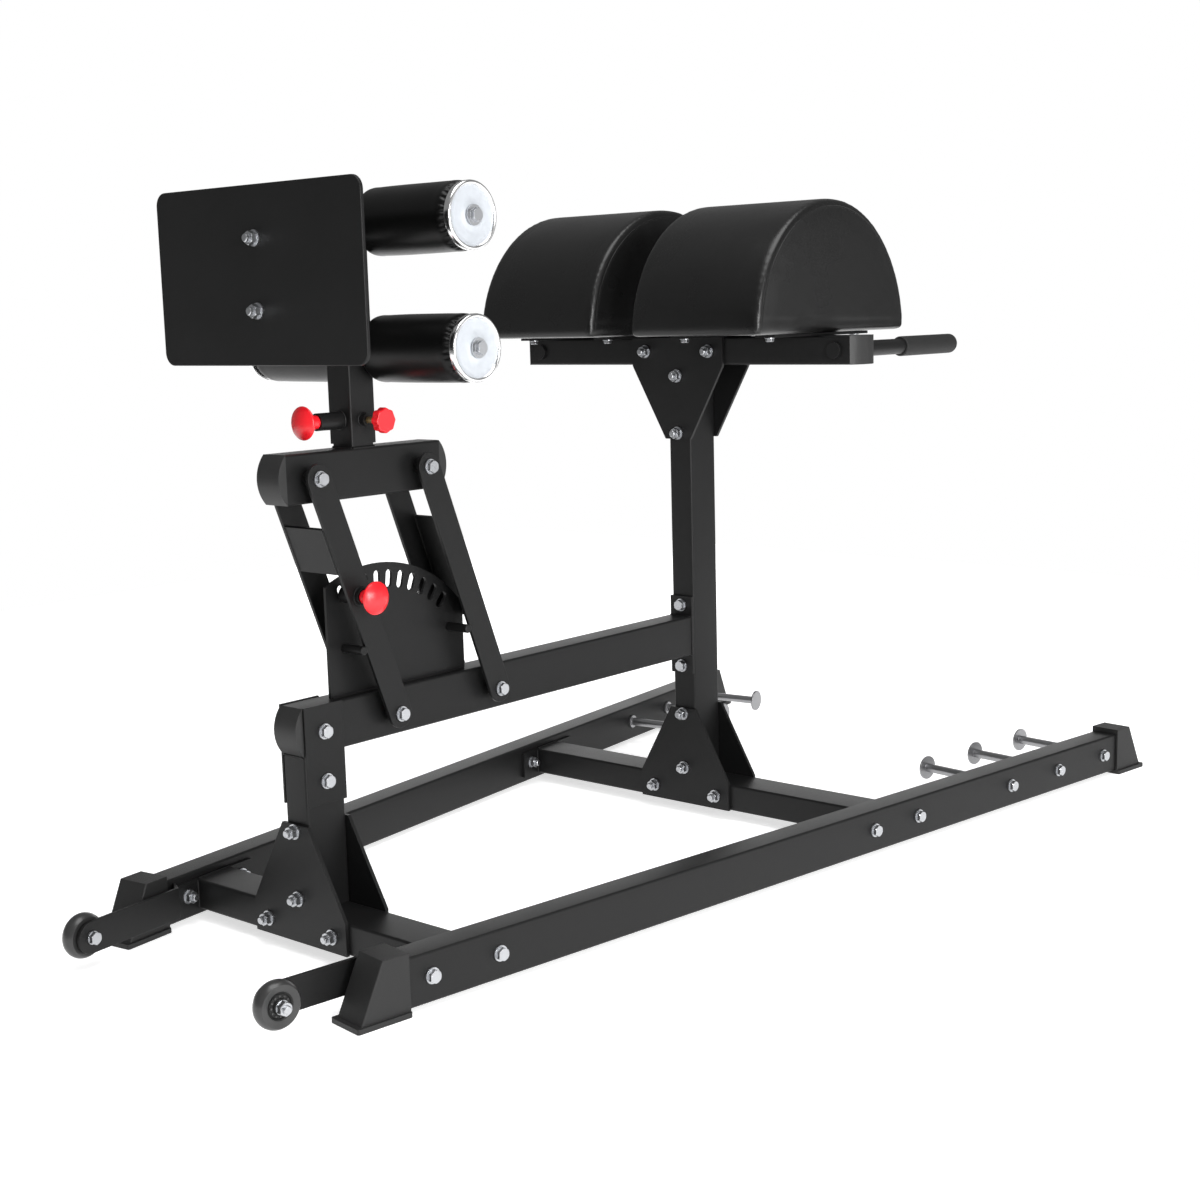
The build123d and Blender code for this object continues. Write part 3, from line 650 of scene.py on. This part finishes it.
def lining_on(name):
    """A thin cloth over the board, slightly uneven, just proud of the cover's underside."""
    low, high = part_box(name)
    middle, span = (low + high) / 2, high - low
    bm = bmesh.new()
    bmesh.ops.create_grid(bm, x_segments=24, y_segments=14, size=0.5)
    bmesh.ops.scale(bm, vec=(span.x - 2 * lining_inset, span.y - 2 * lining_inset, 1), verts=bm.verts)
    bmesh.ops.translate(bm, vec=(middle.x, middle.y, low.z + lining_drop), verts=bm.verts)
    raised = bmesh.ops.extrude_face_region(bm, geom=bm.faces[:], use_keep_orig=True)["geom"]
    raised = [g for g in raised if isinstance(g, bmesh.types.BMVert)]
    bmesh.ops.translate(bm, vec=(0, 0, lining_thick), verts=raised)
    for v in bm.verts:
        v.co.z += 0.0003 * noise.noise(v.co * 40)
    bmesh.ops.recalc_face_normals(bm, faces=bm.faces)
    piece_from(bm, name + "_lining", lining, "vinyl", nodes[name]["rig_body"])


def staple(bm, at, turned):
    """One staple along X, or along Y if turned, with its ends bent up into the board."""
    verts = bmesh.ops.create_cone(bm, cap_ends=True, segments=6, radius1=staple_radius,
                                  radius2=staple_radius, depth=staple_length)["verts"]
    bmesh.ops.rotate(bm, matrix=Matrix.Rotation(math.pi / 2, 3, "Y"), verts=verts)
    for v in verts:
        v.co.z += 0.0006 * (abs(v.co.x) / (staple_length / 2)) ** 4
    if turned:
        bmesh.ops.rotate(bm, matrix=Matrix.Rotation(math.pi / 2, 3, "Z"), verts=verts)
    bmesh.ops.translate(bm, vec=at, verts=verts)


def staples_on(name):
    low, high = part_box(name)
    middle = Vector(((low.x + high.x) / 2, (low.y + high.y) / 2, low.z + staple_radius))
    side_x, side_y = [(b - a) / 2 - staple_inset for a, b in ((low.x, high.x), (low.y, high.y))]
    bm = bmesh.new()
    for step in range(-7, 8):
        for side in (-1, 1):
            staple(bm, middle + Vector((step * 0.028, side * side_y, 0)), False)
    for step in range(-4, 5):
        for side in (-1, 1):
            staple(bm, middle + Vector((side * side_x, step * 0.026, 0)), True)
    piece_from(bm, name + "_staples", zinc, "zinc", nodes[name]["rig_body"])


for name in pads:
    seam_on(name)
    lining_on(name)
    staples_on(name)
print("seams, linings and staples added")

# %% [markdown]
# ## Foam ankle rollers
# A roller is a thick foam tube in a vinyl sleeve. The sleeve is longer than the foam, so its
# outer end is gathered over the shoulder and tucked behind the cap, which leaves a ring of
# small pleats. A profile is spun round the axle, and the skin is then moved: a slow
# waviness along the body, and sharp folds that deepen towards the cap.

# %% Rollers
roller_bore = 0.01258
body_start, body_end = 0.010, 0.024     # where the straight body begins, from either end
pleats, pleat_depth, pleat_zone = 30, 0.0036, 0.0125

# inner shoulder: (in from the radius, along the axle)
inner_shoulder = [(0.012, 0.0002), (0.0075, 0.0004), (0.003, 0.0022), (0.0009, 0.0055), (0.0004, body_start)]
# outer shoulder: (back from the outer end, in from the body)
outer_shoulder = [(0.020, 0.0), (0.0165, 0.0001), (0.0135, 0.0003), (0.011, 0.0008), (0.0085, 0.0015),
                  (0.0063, 0.0025), (0.0044, 0.0038), (0.0028, 0.0054), (0.0015, 0.0073),
                  (0.0007, 0.0095), (0.0002, 0.0125), (0.0002, 0.018)]


def roller_profile(radius, length):
    profile = [(roller_bore, 0.0006)] + [(radius - drop, z) for drop, z in inner_shoulder]
    steps = 26
    for k in range(1, steps + 1):
        t = k / steps
        crown = 0.0005 * (2 * t - 1) ** 4
        profile.append((radius - 0.0003 - crown, body_start + t * (length - body_start - body_end)))
    profile += [(radius - 0.0006 - drop, length - back) for back, drop in outer_shoulder]
    return profile + [(roller_bore, length - 0.0004)]


def ring_noise(angle, size, height):
    """Noise that runs round a circle without a seam."""
    return noise.noise(Vector((math.cos(angle) * size, math.sin(angle) * size, height)))


def foam_roller(name):
    low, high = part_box(name)
    outwards = 1 if low.y > 0 else -1
    length, radius = high.y - low.y, (high.z - low.z) / 2
    bm = spun(roller_profile(radius, length), 240)
    seed = random.random() * 20
    for v in bm.verts:
        reach = math.hypot(v.co.x, v.co.y)
        if reach < roller_bore + 0.004:
            continue
        angle = math.atan2(v.co.y, v.co.x)
        spoke = Vector((v.co.x, v.co.y, 0)) / reach
        lumps = ring_noise(angle, 1.6, v.co.z * 14 + seed)
        near_cap = max(0.0, min(1.0, (v.co.z - (length - pleat_zone)) / 0.0085))
        wander = 4.4 * ring_noise(angle, 2.4, seed)
        fold = abs(math.sin((pleats * angle + wander) / 2)) ** 0.7
        depth = pleat_depth * (1.3 + 0.4 * ring_noise(angle, 5, seed + 9))
        v.co -= spoke * near_cap ** 1.3 * (1 - fold) * depth
        v.co += spoke * 0.0004 * lumps
    inner_end = Vector((centre(name).x, low.y if outwards > 0 else high.y, centre(name).z))
    stand(bm, inner_end, (0, outwards, 0))
    body = nodes[name]["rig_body"]
    piece = piece_from(bm, name + "_sleeve", roller_vinyl, "vinyl", body, name, limit=75.0)


# %% [markdown]
# ## Roller caps
# Each cap is pressed from thin steel: a rolled rim, a bright wall and a face that sinks
# towards the bolt. The wall and rim are polished, and the face still wears its milky
# protective film, so one spun shell takes two finishes.

# %% Caps
bolt_hole = 0.0132

# bright shell: (in from the wall, along the axle), from the back face round the rolled rim
bright_shell = [(0.0022, 0.0001), (0.0006, 0.0006), (0.0, 0.0019), (0.0001, 0.0052), (0.0, 0.0084),
                (0.0004, 0.0097), (0.0013, 0.0108), (0.0024, 0.0113), (0.0037, 0.0114),
                (0.0049, 0.0109), (0.0057, 0.0101), (0.0062, 0.0093), (0.0067, 0.0090)]
# filmed face: (radius, along the axle), from the dish up to the boss round the bolt
filmed_face = [(0.036, 0.0087), (0.029, 0.0083), (0.0245, 0.0082), (0.0215, 0.0086),
               (0.0185, 0.0094), (0.0160, 0.0101), (0.0140, 0.0104), (bolt_hole, 0.0102)]


def roller_cap(name):
    low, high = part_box(name)
    outwards = 1 if low.y > 0 else -1
    wall = (high.z - low.z) / 2
    shell = [(bolt_hole, 0.0003)] + [(wall - drop, z) for drop, z in bright_shell]
    bm = spun(shell + filmed_face, 96)
    for face in bm.faces:
        middle = face.calc_center_median()
        if math.hypot(middle.x, middle.y) < wall - 0.0063 and middle.z > 0.006:
            face.material_index = 1
    inner_end = Vector((centre(name).x, low.y if outwards > 0 else high.y, centre(name).z))
    stand(bm, inner_end, (0, outwards, 0))
    finishes, body = (cap_chrome, disc_film), nodes[name]["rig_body"]
    piece_from(bm, name + "_pressed", finishes, "chrome", body, name, limit=50.0)


for level in ("lower", "upper"):
    for side in ("left", "right"):
        foam_roller(f"roller_{level}_{side}")
        roller_cap(f"roller_disc_{level}_{side}")
print("rollers and caps built")

# %% [markdown]
# ## Wheel hubs
# The transport wheels turn on a pressed-in hub: two dished rings with a sleeve through the
# middle, and a row of round drive pips moulded in the dish. The hub is spun from a profile,
# and the pips are small balls copied round the axle on both sides.

# %% Hubs
splay = math.radians(7.7)       # each rail turns out by this much, and its wheel with it
hub_half = 0.012
pips, pip_size, pip_ring = 12, 0.0021, 0.0139
dish = 0.0032                   # how deep the pips sit

# half of the outline: (radius, depth from the hub's face), from the bore out to the tyre
hub_side = [(0.00605, 0.0), (0.0095, 0.0), (0.0105, 0.001), (0.0112, dish), (0.0165, 0.0036),
            (0.0178, 0.0018), (0.0199, 0.0012)]


def wheel_hub(name):
    side = 1 if name.endswith("left") else -1
    near_side = [(r, depth - hub_half) for r, depth in hub_side]
    far_side = [(r, hub_half - depth) for r, depth in reversed(hub_side)]
    bm = spun(near_side + far_side, 64)
    for face in (-1, 1):
        for k in range(pips):
            made = bmesh.ops.create_icosphere(bm, subdivisions=1, radius=pip_size)["verts"]
            spoke = Vector((pip_ring, 0, face * (hub_half - dish)))
            spoke.rotate(Matrix.Rotation(2 * math.pi * k / pips, 3, "Z"))
            bmesh.ops.translate(bm, vec=spoke, verts=made)
            for pip in {f for v in made for f in v.link_faces}:
                pip.material_index = 1
    stand(bm, centre(name), (-math.sin(splay), side * math.cos(splay), 0))
    finishes, body = (hub_nylon, hub_pip), nodes[name]["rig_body"]
    piece_from(bm, name + "_dished", finishes, "cap_plastic", body, name)


for name in ("wheel_hub_left", "wheel_hub_right"):
    wheel_hub(name)
print("hubs built")

# %% [markdown]
# ## Weld beads
# The frame is welded where plates meet tubes, and the coat goes over the beads. A bead is a
# small ring pulled along the joint in short steps, then swollen and pinched to leave the
# ripples of each pool of metal. Round joints get the same ring spun round the tube.

# %% Beads
bead_sides, bead_step, ripple_pitch = 7, 0.0016, 0.0032


def bead_ends(bm, at, way, radius):
    """The ring of points that a bead starts from, with its edges, across the direction way."""
    made = bmesh.ops.create_circle(bm, segments=bead_sides, radius=radius)["verts"]
    turn = way.to_track_quat("Z", "X").to_matrix().to_4x4()
    bmesh.ops.transform(bm, matrix=Matrix.Translation(at) @ turn, verts=made)
    return made + list({e for v in made for e in v.link_edges})


def rippled(verts, along, axis_of):
    """Swell and pinch a bead round its axis, by how far along it each point lies."""
    for v in verts:
        t, mid = along(v.co), axis_of(v.co)
        ripple = 0.17 * math.sin(2 * math.pi * t / ripple_pitch)
        v.co = mid + (v.co - mid) * (1 + ripple + 0.12 * noise.noise(v.co * 300))


def bead(bm, a, b, radius=0.0021):
    count = len(bm.verts)
    way = (b - a).normalized()
    steps = max(4, round((b - a).length / bead_step))
    geom = bead_ends(bm, a, way, radius)
    first = [g for g in geom if isinstance(g, bmesh.types.BMEdge)]
    swept = bmesh.ops.spin(bm, geom=geom, cent=a, axis=way, dvec=(b - a) / steps, angle=0.0, steps=steps)
    last = [g for g in swept["geom_last"] if isinstance(g, bmesh.types.BMEdge)]
    for ring in (first, last):
        bmesh.ops.contextual_create(bm, geom=ring)
    bm.verts.ensure_lookup_table()

    def along(p):
        return (p - a).dot(way)

    rippled(bm.verts[count:], along, lambda p: a + way * along(p))


def bead_loop(bm, points, radius=0.0021):
    for a, b in zip(points, points[1:] + points[:1]):
        bead(bm, a, b, radius)


def bead_ring(bm, middle, axis, size, radius):
    count = len(bm.verts)
    axis = Vector(axis)
    out = axis.orthogonal().normalized()
    round_way = axis.cross(out)
    geom = bead_ends(bm, middle + out * size, round_way, radius)
    steps = round(2 * math.pi * size / bead_step)
    bmesh.ops.spin(bm, geom=geom, cent=middle, axis=axis, angle=2 * math.pi, steps=steps, use_merge=True)
    bm.verts.ensure_lookup_table()

    def along(p):
        return math.atan2((p - middle).dot(round_way), (p - middle).dot(out)) * size

    def axis_of(p):
        flat = p - middle - axis * (p - middle).dot(axis)
        return middle + flat.normalized() * size

    rippled(bm.verts[count:], along, axis_of)


def welds(name, body, build):
    bm = bmesh.new()
    build(bm)
    bmesh.ops.recalc_face_normals(bm, faces=bm.faces)
    piece_from(bm, name, black_coat, "steel", body, limit=80.0)


# %% [markdown]
# The joints lie where the steel's own sizes put them. Those are easiest to say in
# millimetres, from the foot-end face of the front upright, the middle line and the floor, as
# a drawing of the bench would. One function turns such a point into the frame's metres.

# %% Sizes that the welds follow, in millimetres
millimetre = 0.001
origin_x = 0.75402              # metres from the front upright's face to the frame's origin

tube_w, tube_h, plate = 50.0, 75.0, 6.0
half_front = 316.5              # outer face of a rail from the middle line, at x = 0
cross_z = 20.0                  # underside of both cross members
rear_x = 957.0                  # foot-end face of the main upright
spine_z, pad_beam_z = 312.5, 858.0
sector_x, sector_y, sector_half = (75, 359), -4.5, 2.5
strap_ys, strap_half = (-274, -90, 90, 274), 20

link_x = (177.5, 401.5)         # lower pivots
link_z, link_length = 350.0, 404.0
link_half, link_y = 22.3, 43.3  # half an arm's width, and an arm's inner face
lean = math.radians(-20.4)

mast_x = sum(link_x) / 2 + link_length * math.sin(lean)
beam_top = link_z + link_length * math.cos(lean) + tube_h / 2
mast_half, sleeve_half = 21.8, 25
pin_z = 808
plate_bolt_z, roller_z = (973.7, 1076.7), (913.0, 1101.0)


def spot(x, y, z):
    return Vector((x * millimetre - origin_x, y * millimetre, z * millimetre))


def crossways(bm, x, half, z, radius=0.0021):
    """A bead across the bench, centred on the middle line."""
    bead(bm, spot(x, -half, z), spot(x, half, z), radius)


# %% Welds of the base
def flange_y(x):
    """From the middle line to where a cross member meets its end flange."""
    return half_front + x * math.tan(splay) - (tube_w + plate) / math.cos(splay) - 0.6


def cross_welds(bm, x0):
    """A bead down each side and along the top of both ends of a cross member."""
    for side in (-1, 1):
        for x in (x0, x0 + tube_h):
            y = side * flange_y(x)
            bead(bm, spot(x, y, cross_z + 2), spot(x, y, cross_z + tube_w - 2))
        a, b = x0 + 2, x0 + tube_h - 2
        top = cross_z + tube_w
        bead(bm, spot(a, side * flange_y(a), top), spot(b, side * flange_y(b), top))


def base_welds(bm):
    for x0 in (0.0, rear_x):
        cross_welds(bm, x0)
    end = (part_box("spine")[1].x + origin_x) / millimetre - plate
    low, high = spine_z + 1.5, spine_z + tube_h - 1.5
    corners = [spot(end, y, z) for y, z in ((-25, low), (25, low), (25, high), (-25, high))]
    bead_loop(bm, corners, 0.0024)
    top = spine_z + tube_h
    for y in (sector_y - sector_half, sector_y + sector_half):
        bead(bm, spot(sector_x[0], y, top), spot(sector_x[1], y, top), 0.0018)
    top = pad_beam_z + tube_w
    for y in strap_ys:
        for edge in (y - strap_half, y + strap_half):
            bead(bm, spot(rear_x + 2, edge, top), spot(rear_x + tube_h - 2, edge, top), 0.0018)
    for x0, z in ((rear_x, pad_beam_z), (0, spine_z)):
        for x in (x0, x0 + tube_h):
            crossways(bm, x, 22, z)


welds("base_welds", "base", base_welds)


# %% Welds of the carriage, the sleeve and the links
def carriage_welds(bm):
    corners = ((-1, -1), (1, -1), (1, 1), (-1, 1))
    bead_loop(bm, [spot(mast_x + a * mast_half, b * mast_half, beam_top) for a, b in corners], 0.0026)


def sleeve_welds(bm):
    wall = mast_x - sleeve_half
    bead_ring(bm, spot(wall, 0, pin_z), (1, 0, 0), 0.0135, 0.0020)
    bead_ring(bm, spot(mast_x, -sleeve_half, pin_z), (0, 1, 0), 0.0102, 0.0018)
    for z in plate_bolt_z:
        for y in (-20, 20):
            bead(bm, spot(wall, y, z - 18), spot(wall, y, z + 18))
        crossways(bm, wall, 18, z + 20)
        crossways(bm, wall, 18, z - 20)
    for z in roller_z:
        for drop in (-12.5, 12.5):
            crossways(bm, mast_x + sleeve_half, 22, z + drop, 0.0017)


def link_spot(x0, across, y, along):
    """A point on a leaning link: along it from its lower pivot, and across it towards the pads."""
    x = x0 + along * math.sin(lean) + across * math.cos(lean)
    return spot(x, y, link_z + along * math.cos(lean) - across * math.sin(lean))


def web_welds(bm, x0, side, low, high):
    """Beads inside and outside a link's cross plate, at both arms."""
    for y in (-link_y, link_y):
        for across in (side * 16.5, side * link_half):
            bead(bm, link_spot(x0, across, y, low), link_spot(x0, across, y, high), 0.0017)


def foot_link_welds(bm):
    web_welds(bm, link_x[0], -1, 257, 329)
    bead_ring(bm, link_spot(link_x[0], 0, -49.4, 208.5), (0, 1, 0), 0.0136, 0.0019)


def pad_link_welds(bm):
    web_welds(bm, link_x[1], 1, 127, 302)


welds("carriage_welds", "carriage", carriage_welds)
welds("sleeve_welds", "sleeve", sleeve_welds)
welds("foot_link_welds", "foot_links", foot_link_welds)
welds("pad_link_welds", "pad_links", pad_link_welds)
print("weld beads laid")

# %% [markdown]
# ## Studio
# The bench stands on a square of white paper, a few metres across, under broad, soft lamps.
# The paper glows a little, more so towards its rim, so shadows stay pale and its edge melts
# into the surround. That surround is a large dome that only the camera sees. The light itself
# comes from a dimmer sky, the lamps and the paper, so low faces pick up the bright paper, tall
# ones mirror the dark room, and each black face takes a different grey.

# %% Floor and surround
def stage_piece(bm, name, finish):
    piece = new_object(name, bm)
    piece.data.materials.append(finish)
    return piece


white = (1.0, 1.0, 1.0, 1.0)
paper_half, paper_drop = 3.4, 0.0003     # just under the soles, so the two never share a plane

bm = bmesh.new()
bmesh.ops.create_grid(bm, x_segments=1, y_segments=1, size=paper_half)
bmesh.ops.translate(bm, vec=(0, 0, -paper_drop), verts=bm.verts)
paper = Finish("studio_paper", (0.85, 0.85, 0.85), 0.95, Specular_IOR_Level=0.0)
reach = paper.add("ShaderNodeVectorMath", {"operation": "LENGTH"}, {0: paper.place}, "Value")
paper.feed("Emission Color", paper.ramp(reach * 0.25, (0.3, 0.64), (0.75, 0.95)))
paper.shader.inputs["Emission Strength"].default_value = 1.0
stage_piece(bm, "floor", paper.material)

bm = bmesh.new()
bmesh.ops.create_uvsphere(bm, u_segments=48, v_segments=24, radius=28.0)
bmesh.ops.reverse_faces(bm, faces=bm.faces)
glow = Finish("white_surround", (0.0, 0.0, 0.0), 1.0, Specular_IOR_Level=0.0)
glow.shader.inputs["Emission Color"].default_value = white
glow.shader.inputs["Emission Strength"].default_value = 1.0
dome = stage_piece(bm, "white_surround", glow.material)
dome.visible_diffuse = dome.visible_glossy = dome.visible_transmission = dome.visible_shadow = False

world = bpy.data.worlds.new("studio")
bpy.context.scene.world = world
world.use_nodes = True
sky = world.node_tree.nodes["Background"].inputs
sky["Color"].default_value = white
sky["Strength"].default_value = 0.25
bpy.context.scene.view_settings.view_transform = "Standard"


# %% Lamps
def lamp(name, at, towards, size, power):
    light = bpy.data.objects.new(name, bpy.data.lights.new(name, "AREA"))
    light.data.shape = "RECTANGLE"
    light.data.size, light.data.size_y = size
    light.data.energy = power
    light.location = at
    light.rotation_euler = (Vector(towards) - Vector(at)).to_track_quat("-Z", "Y").to_euler()
    light.visible_camera = False
    bpy.context.scene.collection.objects.link(light)


lamp("overhead", (-0.6, -0.9, 4.2), (0, 0, 0.4), (3.0, 3.0), 126)
lamp("right_side", (-1.0, -3.4, 1.2), (-0.3, 0, 0.4), (1.8, 1.2), 54)
lamp("edge_strip", (-2.1, -4.3, 1.3), (0, 0, 0.8), (0.35, 2.2), 90)
lamp("low_panel", (1.5, -2.5, 0.9), (-0.6, 0, 0.8), (1.5, 1.0), 5)
lamp("back_panel", (2.9, 2.4, 0.9), (0, 0, 0.7), (4.0, 1.4), 26)
